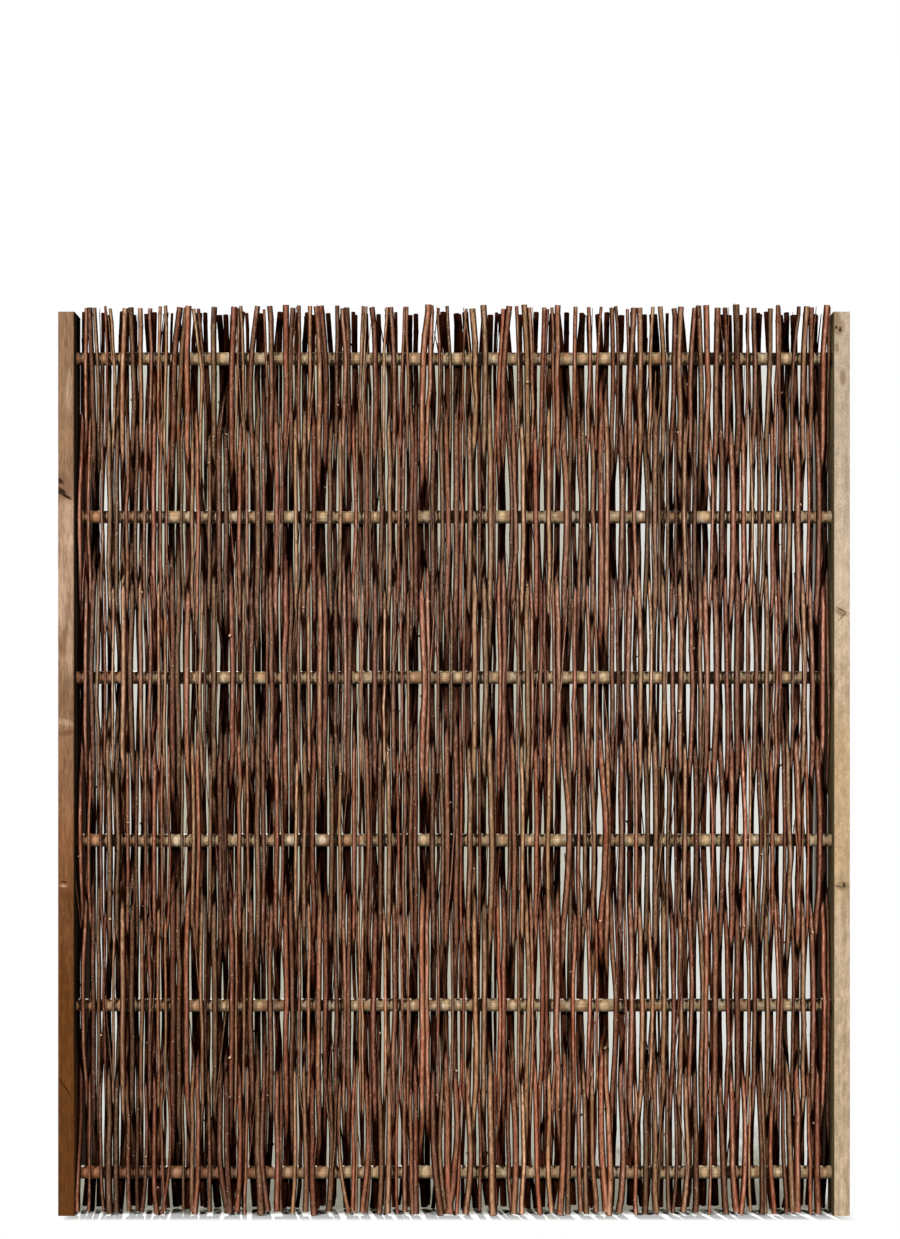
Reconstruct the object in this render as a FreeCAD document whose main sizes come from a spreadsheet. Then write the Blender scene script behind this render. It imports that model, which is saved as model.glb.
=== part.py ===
import FreeCAD, Part
import math
import os
import random
import Sketcher

# Woven willow panel: upright rods woven on round rails between two side battens.
# Millimetres. The origin is on the ground at the middle of the panel, +X runs along
# the panel, +Z is up and the front faces -Y.

doc = FreeCAD.newDocument("willow_panel")
sheet = doc.addObject("Spreadsheet::Sheet", "Sizes")


def add_sizes(first_row, entries):
    """Write one named size per row: its name, its value or formula and what it is."""
    for row, (name, value, meaning) in enumerate(entries, first_row):
        sheet.set(f"A{row}", name)
        sheet.set(f"B{row}", value)
        sheet.set(f"C{row}", meaning)
        sheet.setAlias(f"B{row}", name)


DRIVING_SIZES = [
    ("panel_width", "1200", "over the outer faces of both battens"),
    ("panel_height", "1380", "ground to the highest rod tip"),
    ("batten_width", "25", "face of a batten seen from the front"),
    ("batten_depth", "45", "front to back"),
    ("batten_drop", "10", "batten top below the highest rod tip"),
    ("batten_arris", "1.5", "eased long edges of a batten"),
    ("rail_count", "6", "horizontal round rails"),
    ("rail_diameter", "20", "round rail"),
    ("rail_lift", "10.5", "rise of the middle rails above even spacing"),
    ("bottom_overhang", "61", "ground to the axis of the lowest rail"),
    ("top_overhang", "77", "axis of the top rail to the highest rod tip"),
    ("rod_diameter", "6.85", "mean rod thickness"),
    ("group_count", "41", "groups of neighbouring rods, one node each"),
    ("rod_spread", "0.4", "share by which rods are thicker or thinner than the mean"),
    ("rod_taper", "0.8", "thick end less thin end of one rod"),
    ("rod_gap", "0.1", "space between neighbours where they cross"),
    ("edge_gap", "3", "batten to the nearest rod"),
    ("seat_clearance", "0.3", "rod to rail where it bears"),
    ("paired_share", "0.25", "share of strands made of two rods side by side"),
    ("lean_left", "2.3", "sideways lean of strands at a rail, near the left batten"),
    ("lean_right", "-0.7", "sideways lean of strands at a rail, near the right batten"),
    ("lean_spread", "0.8", "by how much single strands lean more or less"),
    ("lean_ease", "40", "distance from a batten over which the lean fades out"),
    ("foot_clearance", "1", "ground to the lowest rod end"),
    ("end_unevenness", "6", "scatter of the cut rod ends"),
    ("nail_shank", "3", "square shank of a cut nail"),
    ("nail_length", "60", "shank under the head"),
    ("nail_head", "6.5", "square head"),
    ("nail_head_thickness", "1.5", "head"),
    ("nail_sink", "0.5", "head below the outer face of the batten"),
    ("nail_clearance", "0.1", "nail to its hole on each side"),
]
WORKED_OUT_SIZES = [
    ("clear_width", "=panel_width - 2 * batten_width", "between the battens"),
    ("batten_height", "=panel_height - batten_drop", "ground to batten top"),
    ("batten_offset", "=(panel_width - batten_width) / 2", "panel middle to batten axis"),
    ("rail_rise", "=panel_height - bottom_overhang - top_overhang", "lowest rail to top rail"),
    ("nail_hole", "=nail_shank + 2 * nail_clearance", "hole for a shank"),
    ("nail_recess", "=nail_head + 2 * nail_clearance", "recess for a head"),
    ("recess_depth", "=nail_sink + nail_head_thickness", "outer face to the underside of a head"),
    ("nail_reach", "=nail_length + recess_depth - batten_width", "shank inside a rail"),
    ("nail_bite", "=nail_reach + nail_clearance", "hole depth in a rail end"),
]
add_sizes(1, DRIVING_SIZES)
add_sizes(1 + len(DRIVING_SIZES), WORKED_OUT_SIZES)
doc.recompute()


def size(name):
    """Value of one named size."""
    return float(sheet.get(name))


RAILS = range(1, int(size("rail_count")) + 1)


def rail_height_formula(number):
    """Height of a rail's axis: even spacing, plus a rise that is greatest halfway up."""
    part_way = f"({number - 1} / (rail_count - 1))"
    even = f"bottom_overhang + rail_rise * {part_way}"
    rise = f"4 * rail_lift * {part_way} * (1 - {part_way})"
    return f"={even} + {rise}"


RAIL_SIZES = [(f"rail_height_{n}", rail_height_formula(n), "axis above the ground") for n in RAILS]
add_sizes(1 + len(DRIVING_SIZES) + len(WORKED_OUT_SIZES), RAIL_SIZES)
doc.recompute()


def bind(item, **formulas):
    """Tie properties of an item to the sheet. A double underscore stands for a dot."""
    for path, formula in formulas.items():
        item.setExpression(path.replace("__", "."), formula)


# Sketches and pads


def datum(body, role):
    """Plane of a body's own origin."""
    return next(item for item in body.Origin.OriginFeatures if item.Role == role)


def place_sketch(body, name, plane):
    sketch = body.newObject("Sketcher::SketchObject", name)
    sketch.AttachmentSupport = [(datum(body, plane), "")]
    sketch.MapMode = "FlatFace"
    return sketch


def rectangle(sketch, across, along, centre_height="0 mm"):
    """Add a rectangle centred on the sketch's upright axis, with named width, height and centre."""
    half = 1.0
    corners = [(-half, -half), (half, -half), (half, half), (-half, half)]
    points = [FreeCAD.Vector(x, y, 0) for x, y in corners]
    ends = zip(points, points[1:] + points[:1])
    bottom, right, top, left = [sketch.addGeometry(Part.LineSegment(start, end)) for start, end in ends]
    for line, following in ((bottom, right), (right, top), (top, left), (left, bottom)):
        sketch.addConstraint(Sketcher.Constraint("Coincident", line, 2, following, 1))
    for line in (bottom, top):
        sketch.addConstraint(Sketcher.Constraint("Horizontal", line))
    for line in (right, left):
        sketch.addConstraint(Sketcher.Constraint("Vertical", line))
    centre = sketch.addGeometry(Part.Point(FreeCAD.Vector(0, 0, 0)), True)
    sketch.addConstraint(Sketcher.Constraint("Symmetric", bottom, 1, top, 1, centre, 1))
    sketch.addConstraint(Sketcher.Constraint("PointOnObject", centre, 1, -2))
    named = [
        (f"across_{bottom}", Sketcher.Constraint("DistanceX", bottom, 1, bottom, 2, 2 * half), across),
        (f"along_{bottom}", Sketcher.Constraint("DistanceY", right, 1, right, 2, 2 * half), along),
        (f"height_{bottom}", Sketcher.Constraint("DistanceY", -1, 1, centre, 1, 0.0), centre_height),
    ]
    for name, constraint, formula in named:
        number = sketch.addConstraint(constraint)
        sketch.renameConstraint(number, name)
        sketch.setExpression(f"Constraints.{name}", formula)


def pad(body, sketch, name, length):
    feature = body.newObject("PartDesign::Pad", name)
    feature.Profile = sketch
    bind(feature, Length=length)
    sketch.Visibility = False
    return feature


def pocket(body, sketch, name, depth, reverse):
    feature = body.newObject("PartDesign::Pocket", name)
    feature.Profile = sketch
    feature.Reversed = reverse
    bind(feature, Length=depth)
    sketch.Visibility = False
    return feature


# Side battens


def make_batten(name, side):
    """Sawn batten with eased long edges and a nail hole at each rail. Side is -1 or +1."""
    body = doc.addObject("PartDesign::Body", name)
    section = place_sketch(body, f"{name}_section", "XY_Plane")
    rectangle(section, "Sizes.batten_width", "Sizes.batten_depth")
    stick = pad(body, section, f"{name}_stick", "Sizes.batten_height")
    doc.recompute()

    ends = [(n, edge.Vertexes) for n, edge in enumerate(stick.Shape.Edges, 1)]
    upright = [f"Edge{n}" for n, (a, b) in ends if abs(a.Z - b.Z) > size("batten_height") / 2]
    arris = body.newObject("PartDesign::Chamfer", f"{name}_arris")
    arris.Base = (stick, upright)
    bind(arris, Size="Sizes.batten_arris")

    outer_face = f"{side} * Sizes.batten_width / 2"
    cuts = [
        ("shank_hole", "Sizes.nail_hole", "Sizes.batten_width"),
        ("head_recess", "Sizes.nail_recess", "Sizes.recess_depth"),
    ]
    for cut, across, depth in cuts:
        squares = place_sketch(body, f"{name}_{cut}_squares", "YZ_Plane")
        for number in RAILS:
            rectangle(squares, across, across, f"Sizes.rail_height_{number}")
        bind(squares, AttachmentOffset__Base__z=outer_face)
        body.Tip = pocket(body, squares, f"{name}_{cut}", depth, side < 0)
    bind(body, Placement__Base__x=f"{side} * Sizes.batten_offset")
    return body


# Round rails


def make_rail(number):
    """Round rail that butts on both battens, with a nail hole in each end."""
    name = f"rail_{number}"
    body = doc.addObject("PartDesign::Body", name)
    section = place_sketch(body, f"{name}_section", "YZ_Plane")
    outline = Part.Circle()
    outline.Radius = size("rail_diameter") / 2
    section.addGeometry(outline)
    section.addConstraint(Sketcher.Constraint("Coincident", 0, 3, -1, 1))
    thickness = section.addConstraint(Sketcher.Constraint("Diameter", 0, size("rail_diameter")))
    section.renameConstraint(thickness, "thickness")
    section.setExpression("Constraints.thickness", "Sizes.rail_diameter")
    pad(body, section, f"{name}_pole", "Sizes.clear_width")

    near = place_sketch(body, f"{name}_near_end", "YZ_Plane")
    rectangle(near, "Sizes.nail_hole", "Sizes.nail_hole")
    pocket(body, near, f"{name}_near_hole", "Sizes.nail_bite", True)
    far = place_sketch(body, f"{name}_far_end", "YZ_Plane")
    rectangle(far, "Sizes.nail_hole", "Sizes.nail_hole")
    bind(far, AttachmentOffset__Base__z="Sizes.clear_width")
    body.Tip = pocket(body, far, f"{name}_far_hole", "Sizes.nail_bite", False)

    bind(
        body,
        Placement__Base__x="-Sizes.clear_width / 2",
        Placement__Base__z=f"Sizes.rail_height_{number}",
    )
    return body


# Cut nails


def nail_box(name, start, length, thickness, height):
    """Square bar along X from a start, centred on the nail's axis. Length and thickness name sizes."""
    bar = doc.addObject("Part::Box", name)
    bind(
        bar,
        Length=f"Sizes.{length}",
        Width=f"Sizes.{thickness}",
        Height=f"Sizes.{thickness}",
        Placement__Base__x=start,
        Placement__Base__y=f"-Sizes.{thickness} / 2",
        Placement__Base__z=f"{height} - Sizes.{thickness} / 2",
    )
    return bar


def make_nails(name, side):
    """One nail for each rail, driven through a batten into the rail's end."""
    nails = []
    for number in RAILS:
        height = f"Sizes.rail_height_{number}"
        face = "Sizes.panel_width / 2 - Sizes.nail_sink"
        under_head = f"{face} - Sizes.nail_head_thickness"
        if side > 0:
            head_start = under_head
            shank_start = f"{under_head} - Sizes.nail_length"
        else:
            head_start = f"-({face})"
            shank_start = f"-({under_head})"
        head = nail_box(f"{name}_head_{number}", head_start, "nail_head_thickness", "nail_head", height)
        shank = nail_box(f"{name}_shank_{number}", shank_start, "nail_length", "nail_shank", height)
        nail = doc.addObject("Part::Fuse", f"{name}_{number}")
        nail.Base = shank
        nail.Tool = head
        nails.append(nail)
    row = doc.addObject("Part::Compound", name)
    row.Links = nails
    return row


# Willow rods

ROD_SIDES = 5
FLAT_SHARE = math.cos(math.pi / ROD_SIDES)


def scatter(quality, number):
    """Repeatable draw between -1 and 1 for one quality of one rod or strand."""
    return random.Random(f"{quality} {number}").uniform(-1, 1)


def rod_thicknesses():
    """Mean thickness of each rod that fits between the battens."""
    room = size("clear_width") - 2 * size("edge_gap") + size("rod_gap")
    count = int(room / (size("rod_diameter") + size("rod_gap")))
    shares = [1 + size("rod_spread") * scatter("thickness", rod) for rod in range(count)]
    return [size("rod_diameter") * share for share in shares]


def rod_places(thicknesses):
    """Position of each rod along the panel where neighbours cross."""
    room = size("clear_width") - 2 * size("edge_gap")
    gap = (room - sum(thicknesses)) / (len(thicknesses) - 1)
    places = []
    edge = -room / 2
    for thickness in thicknesses:
        places.append(edge + thickness / 2)
        edge += thickness + gap
    return places


def rod_strands(count):
    """Strand of each rod. Strands of one or two rods pass the rails on opposite sides in turn."""
    strands = []
    strand = 0
    while len(strands) < count:
        paired = scatter("pairing", strand) < 2 * size("paired_share") - 1
        strands += [strand] * (2 if paired else 1)
        strand += 1
    return strands[:count]


def strand_lean(strand, place):
    """Sideways lean of a strand at a rail, fading out next to the battens."""
    across = (size("clear_width") / 2 + place) / size("clear_width")
    mean = size("lean_left") + (size("lean_right") - size("lean_left")) * across
    room = size("clear_width") / 2 - abs(place)
    ease = min(1.0, room / size("lean_ease"))
    return ease * (mean + size("lean_spread") * scatter("lean", strand))


def section_wire(centre, thickness):
    """Level section of a rod, with a flat to the front and a corner to the back."""
    corners = []
    for corner in range(ROD_SIDES):
        angle = math.pi / 2 + 2 * math.pi * corner / ROD_SIDES
        offset = FreeCAD.Vector(math.cos(angle), math.sin(angle), 0) * (thickness / 2)
        corners.append(centre + offset)
    return Part.makePolygon(corners + corners[:1])


def make_rod(rod, place, mean_thickness, strand):
    """Rod that bends at the inner rails and runs on straight past the outer ones."""
    heights = [size(f"rail_height_{number}") for number in RAILS]
    foot = size("foot_clearance") + size("end_unevenness") * abs(scatter("foot", rod))
    tip = size("panel_height") - size("end_unevenness") * abs(scatter("tip", rod))
    butt_down = math.copysign(1, scatter("butt", rod))
    lean = strand_lean(strand, place)

    def thickness(height):
        below_middle = (size("panel_height") / 2 - height) / size("panel_height")
        return mean_thickness + butt_down * size("rod_taper") * below_middle

    def seat(rail):
        behind = (strand + rail) % 2
        side = 1 if behind else -1
        rod_reach = thickness(heights[rail]) / 2 * (FLAT_SHARE if behind else 1)
        reach = size("rail_diameter") / 2 + size("seat_clearance") + rod_reach
        return FreeCAD.Vector(place - side * lean, side * reach, heights[rail])

    seats = [seat(rail) for rail in range(len(heights))]

    def run_on(inner, outer, height):
        return inner + (outer - inner) * ((height - inner.z) / (outer.z - inner.z))

    bends = [run_on(seats[1], seats[0], foot)] + seats[1:-1] + [run_on(seats[-2], seats[-1], tip)]
    sections = [section_wire(point, thickness(point.z)) for point in bends]
    return Part.makeLoft(sections, True, True)


def make_rod_groups():
    """Neighbouring rods share a node, each rod a solid of its own."""
    thicknesses = rod_thicknesses()
    places = rod_places(thicknesses)
    strands = rod_strands(len(thicknesses))
    group_count = int(size("group_count"))
    groups = []
    for number in range(group_count):
        first = number * len(places) // group_count
        last = (number + 1) * len(places) // group_count
        rods = [make_rod(rod, places[rod], thicknesses[rod], strands[rod]) for rod in range(first, last)]
        group = doc.addObject("Part::Feature", f"willow_rods_{number + 1:02d}")
        group.Shape = Part.makeCompound(rods)
        groups.append(group)
    return groups


# Assembly and export

pieces = [make_batten("left_batten", -1), make_batten("right_batten", 1)]
pieces += [make_rail(number) for number in RAILS]
pieces += [make_nails("left_nails", -1), make_nails("right_nails", 1)]
pieces += make_rod_groups()
doc.recompute()

for item in doc.Objects:
    if "Invalid" in item.State or "Error" in item.State:
        raise RuntimeError(f"{item.Name} is not up to date: {item.State}")
os.makedirs("parts", exist_ok=True)
for piece in pieces:
    if piece.Shape.isNull() or not piece.Shape.isValid():
        raise RuntimeError(f"{piece.Label} has no valid shape")
    piece.Shape.exportStep(f"parts/{piece.Label}.step")
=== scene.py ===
import math
import random

import bmesh
import bpy
import numpy as np
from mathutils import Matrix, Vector, noise


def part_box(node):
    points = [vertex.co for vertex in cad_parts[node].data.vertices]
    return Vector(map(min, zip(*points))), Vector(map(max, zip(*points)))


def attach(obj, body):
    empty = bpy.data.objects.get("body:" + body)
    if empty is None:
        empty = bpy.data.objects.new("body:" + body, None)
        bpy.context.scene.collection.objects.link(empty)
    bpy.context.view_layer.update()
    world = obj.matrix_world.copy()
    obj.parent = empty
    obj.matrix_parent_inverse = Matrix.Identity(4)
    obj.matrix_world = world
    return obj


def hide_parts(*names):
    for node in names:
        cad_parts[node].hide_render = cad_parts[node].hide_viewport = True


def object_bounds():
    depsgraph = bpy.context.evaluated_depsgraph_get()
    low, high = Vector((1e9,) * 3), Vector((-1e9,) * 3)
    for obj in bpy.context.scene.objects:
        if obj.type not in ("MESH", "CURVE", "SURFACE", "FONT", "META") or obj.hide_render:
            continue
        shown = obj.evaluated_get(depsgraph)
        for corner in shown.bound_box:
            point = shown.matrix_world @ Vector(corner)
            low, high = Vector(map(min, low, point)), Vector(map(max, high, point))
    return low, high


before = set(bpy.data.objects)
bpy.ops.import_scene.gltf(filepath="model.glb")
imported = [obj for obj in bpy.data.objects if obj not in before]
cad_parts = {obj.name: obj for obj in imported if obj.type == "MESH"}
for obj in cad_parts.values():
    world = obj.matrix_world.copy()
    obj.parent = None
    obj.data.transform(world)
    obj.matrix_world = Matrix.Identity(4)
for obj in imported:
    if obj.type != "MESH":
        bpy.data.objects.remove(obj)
CAD_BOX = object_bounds()

bl_info = {
    "name": "Woven Willow Panel",
    "version": (1, 0, 0),
    "blender": (4, 5, 0),
    "location": "3D View > Sidebar > Willow",
    "description": "Dresses a woven willow fence panel with bark, timber and a plain studio",
    "category": "Object",
}

ROD_NODES = sorted(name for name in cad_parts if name.startswith("willow_rods_"))
RAIL_NODES = sorted(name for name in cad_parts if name.startswith("rail_"))
NAIL_NODES = sorted(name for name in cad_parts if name.endswith("_nails"))
MM = 0.001


def middle(node):
    """Middle of a CAD node's box."""
    low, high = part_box(node)
    return (low + high) / 2


RAIL_HEIGHTS = [middle(node).z for node in RAIL_NODES]
RAIL_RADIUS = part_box(RAIL_NODES[0])[1].y
TIP_HEIGHT = max(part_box(node)[1].z for node in ROD_NODES)


# Settings

def length(name, description, default):
    return bpy.props.FloatProperty(name=name, description=description, default=default, unit="LENGTH", precision=5)


def colour(name, description, default):
    return bpy.props.FloatVectorProperty(
        name=name, description=description, default=default, size=3, subtype="COLOR", min=0.0, max=1.0
    )


class WillowSizes(bpy.types.PropertyGroup):
    ring_spacing: length("Ring Spacing", "Distance between the rings of a rod's mesh", 18 * MM)
    node_spacing: length("Bud Spacing", "Mean distance between bud swellings on a rod", 52 * MM)
    node_half_width: length("Bud Swelling", "Half the length of a bud swelling", 5 * MM)
    rod_wander: length("Rod Wander", "How far a rod strays from its smooth line", 0.5 * MM)
    bud_kink: length("Bud Kink", "Sideways step of a rod from bud to bud", 0.7 * MM)
    seat_shift: length("Seat Shift", "Sideways scatter of the rods where they bear on a rail", 1.3 * MM)
    crossing_depth: length("Crossing Depth", "Front to back scatter of the rods where neighbours cross", 2.2 * MM)
    crossing_shift: length("Crossing Shift", "Sideways scatter of the rods where neighbours cross", 0.35 * MM)
    foot_shift: length("Foot Shift", "Sideways scatter of the feet", 3 * MM)
    tip_shift: length("Tip Shift", "Sideways scatter of the tips", 2 * MM)
    fullness: bpy.props.FloatProperty(
        name="Fullness", description="Round rod thickness as a share of the flat-sided one", default=1.06
    )
    butt_reach: length("Butt Reach", "How far up a rod its thick butt end reaches", 0.16)
    butt_swell: bpy.props.FloatProperty(
        name="Butt Swell", description="Extra thickness of a rod at its cut foot, as a share", default=0.2
    )
    stub_length: length("Stub Length", "How far a cut side branch stands out of a rod", 4 * MM)
    shoot_length: length("Shoot Length", "Longest thin side shoot", 0.22)
    rail_wander: length("Rail Wander", "How far a rail strays from straight", 0.5 * MM)
    batten_wear: length("Batten Wear", "Unevenness of a batten's long edges", 0.5 * MM)
    arris: length("Arris", "Eased long edge of a batten", 1.5 * MM)
    recess: length("Nail Recess", "Side of the square recess for a nail head", 6.7 * MM)
    shade_sheet_gap: length("Backdrop Gap", "Distance of the backdrop behind the middle of the panel", 21.8 * MM)
    camera_distance: length("Camera Distance", "Camera to the middle of the panel", 2.72)
    camera_height: length("Camera Height", "Camera above the ground", 0.721)


class WillowColours(bpy.types.PropertyGroup):
    bark_dark: colour("Dark Bark", "Purple brown rods", (0.06, 0.026, 0.016))
    bark_brown: colour("Brown Bark", "Plain brown rods", (0.145, 0.07, 0.035))
    bark_red: colour("Red Bark", "Red brown rods", (0.17, 0.047, 0.022))
    bark_tan: colour("Tan Bark", "Tan rods", (0.205, 0.118, 0.056))
    bark_olive: colour("Olive Bark", "Olive brown rods", (0.14, 0.092, 0.042))
    bark_rust: colour("Rust Bark", "Rust orange rods", (0.22, 0.065, 0.018))
    # Painted shade: the rods' flanks and inward faces turn dark wine red
    bark_flank_shade: colour("Wine Bark", "Wine red flanks of the rods", (0.115, 0.021, 0.006))
    # Real bloom in blotches, also a painted highlight down the middle of each rod
    bloom_and_highlight: colour("Bloom", "Greyish mauve bloom on the bark", (0.31, 0.215, 0.183))
    # Real pale pores and scars, also used for painted glints
    fleck_and_glint: colour("Fleck", "Pale pores and scars on the bark", (0.6, 0.46, 0.37))
    cut_wood: colour("Cut Wood", "Freshly cut end of a rod", (0.56, 0.36, 0.21))
    rail_pale: colour("Pale Rail", "Pale peeled rail", (0.56, 0.4, 0.225))
    rail_cream: colour("Cream Rail", "Freshest patches of the rails", (0.68, 0.54, 0.38))
    rail_tan: colour("Tan Rail", "Tan rail", (0.37, 0.23, 0.105))
    rail_bark: colour("Rail Bark", "Bark left on a rail", (0.22, 0.1, 0.045))
    rail_rust: colour("Rust Rail", "Orange brown left ends of the rails", (0.34, 0.125, 0.045))
    left_top: colour("Left Batten Top", "Upper part of the left batten", (0.213, 0.121, 0.067))
    left_middle: colour("Left Batten Middle", "Pale part of the left batten", (0.32, 0.198, 0.126))
    left_foot: colour("Left Batten Foot", "Dark lower part of the left batten", (0.108, 0.039, 0.0105))
    left_warm: colour("Left Batten Warm", "Orange brown part of the left batten", (0.188, 0.082, 0.036))
    left_pale: colour("Left Batten Pale", "Pale fibres round the left batten's knots", (0.52, 0.36, 0.24))
    # Painted shade on the left batten's inner side
    left_inner_shade: colour("Left Inner Side", "Blackened inner side of the left batten", (0.014, 0.009, 0.005))
    right_pale: colour("Right Batten", "Pale timber of the right batten", (0.54, 0.41, 0.275))
    right_dark: colour("Right Batten Grain", "Darker grain of the right batten", (0.36, 0.255, 0.155))
    right_tan: colour("Right Batten Tan", "Yellower lower half of the right batten", (0.45, 0.3, 0.155))
    right_grey: colour("Right Batten Grey", "Weathered upper half of the right batten", (0.56, 0.45, 0.335))
    right_stain: colour("Right Batten Stain", "Brown stains on the right batten", (0.2, 0.125, 0.06))
    # Painted shade on the right batten's inner side, darkest behind the rods
    right_inner_shade: colour("Right Inner Side", "Olive brown inner side of the right batten", (0.075, 0.052, 0.02))
    right_inner_deep_shade: colour("Right Batten Deep", "Right batten's inner side behind the rods", (0.012, 0.008, 0.003))
    knot: colour("Knot", "Knots in both battens", (0.022, 0.01, 0.005))
    steel: colour("Steel", "Dull nail heads", (0.2, 0.18, 0.165))
    # Painted shade on the sheet behind the rods
    backdrop: colour("Backdrop", "Shaded backdrop seen through the gaps", (0.4, 0.375, 0.255))
    backdrop_foot: colour("Backdrop Foot", "Shade behind the feet of the rods", (0.24, 0.235, 0.18))
    backdrop_edge: colour("Backdrop Edge", "Deep shade beside the battens", (0.02, 0.014, 0.009))
    floor: colour("Floor", "Pale studio floor", (0.67, 0.67, 0.65))
    floor_foot: colour("Floor Foot", "Shaded floor between the feet of the rods", (0.23, 0.225, 0.18))
    floor_shade: colour("Floor Shade", "What the floor throws back at the panel", (0.02, 0.02, 0.02))


def sizes():
    return bpy.context.scene.willow_sizes


def colours():
    return bpy.context.scene.willow_colours


# Materials

class Wire:
    """A shader socket. Arithmetic on it adds Math nodes to its material."""

    def __init__(self, finish, socket):
        self.finish = finish
        self.socket = socket

    def math(self, operation, *values):
        return self.finish.node("ShaderNodeMath", {"operation": operation}, dict(enumerate(values)))

    def __add__(self, other):
        return self.math("ADD", self, other)

    def __sub__(self, other):
        return self.math("SUBTRACT", self, other)

    def __rsub__(self, other):
        return self.math("SUBTRACT", other, self)

    def __mul__(self, other):
        return self.math("MULTIPLY", self, other)

    def __truediv__(self, other):
        return self.math("DIVIDE", self, other)

    def __pow__(self, other):
        return self.math("POWER", self, other)

    __radd__ = __add__
    __rmul__ = __mul__

    def most(self, other):
        """The larger of two values."""
        return self.math("MAXIMUM", self, other)

    def size(self):
        """The value without its sign."""
        return self.math("ABSOLUTE", self)

    def step(self, low, high):
        """Smooth step from 0 at low to 1 at high."""
        settings = {"interpolation_type": "SMOOTHSTEP"}
        return self.finish.node("ShaderNodeMapRange", settings, {"Value": self, "From Min": low, "From Max": high})


class Finish:
    """Builds one material, or the world, from nodes."""

    def __init__(self, name, made=None):
        self.made = made or bpy.data.materials.new(name)
        self.made.use_nodes = True
        self.tree = self.made.node_tree
        self.tree.nodes.clear()

    def node(self, kind, settings=None, inputs=None, output=0):
        """Add a node, set it up, feed its sockets and return one of its outputs."""
        made = self.tree.nodes.new(kind)
        for key, value in (settings or {}).items():
            if key == "stops":
                self.set_stops(made.color_ramp, value)
            else:
                setattr(made, key, value)
        for key, value in (inputs or {}).items():
            if isinstance(value, Wire):
                self.tree.links.new(value.socket, made.inputs[key])
            else:
                made.inputs[key].default_value = value
        return Wire(self, made.outputs[output]) if made.outputs else None

    def set_stops(self, ramp, stops):
        while len(ramp.elements) < len(stops):
            ramp.elements.new(1.0)
        for element, (position, value) in zip(ramp.elements, stops):
            element.position = position
            element.color = (*value, 1.0)

    def place(self, scale=(1, 1, 1), shift=None):
        """Object coordinates, stretched by a scale and moved by a colour or vector."""
        spot = self.node("ShaderNodeTexCoord", output="Object")
        if shift is not None:
            spot = self.node("ShaderNodeVectorMath", {"operation": "ADD"}, {0: spot, 1: shift})
        return self.node("ShaderNodeMapping", inputs={"Vector": spot, "Scale": scale})

    def axes(self):
        """X, Y and Z of the object coordinates, in metres."""
        spot = self.node("ShaderNodeTexCoord", output="Object")
        return [self.node("ShaderNodeSeparateXYZ", inputs={0: spot}, output=axis) for axis in "XYZ"]

    def clouds(self, spot, scale, detail=3.0, roughness=0.5):
        inputs = {"Vector": spot, "Scale": scale, "Detail": detail, "Roughness": roughness}
        return self.node("ShaderNodeTexNoise", None, inputs, "Fac")

    def cells(self, spot, scale):
        """Distance to the nearest of many scattered points."""
        return self.node("ShaderNodeTexVoronoi", None, {"Vector": spot, "Scale": scale}, "Distance")

    def ramp(self, factor, stops):
        return self.node("ShaderNodeValToRGB", {"stops": stops}, {"Fac": factor}, "Color")

    def mix(self, factor, first, second, blend="MIX"):
        """Blend two colours."""
        settings = {"data_type": "RGBA", "blend_type": blend, "clamp_result": True}
        values = [value if isinstance(value, Wire) else (*value, 1.0) for value in (first, second)]
        return self.node("ShaderNodeMix", settings, {0: factor, 6: values[0], 7: values[1]}, 2)

    def grey(self, value):
        """A value as a grey colour, for multiplying."""
        return self.node("ShaderNodeCombineColor", None, {0: value, 1: value, 2: value})

    def bump(self, height, distance, strength=1.0):
        return self.node("ShaderNodeBump", None, {"Height": height, "Distance": distance, "Strength": strength})

    def surface(self, base, roughness, normal=None, **constants):
        inputs = {"Base Color": base, "Roughness": roughness, **constants}
        if normal is not None:
            inputs["Normal"] = normal
        shader = self.node("ShaderNodeBsdfPrincipled", None, inputs)
        self.node("ShaderNodeOutputMaterial", None, {"Surface": shader})
        return self.made

    def seen(self):
        """1 where the camera looks, straight or by way of a shiny or clear surface, and 0 for other light."""
        paths = ("Is Camera Ray", "Is Glossy Ray", "Is Transmission Ray")
        camera, glossy, clear = [self.node("ShaderNodeLightPath", output=path) for path in paths]
        return camera.most(glossy.most(clear))


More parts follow.
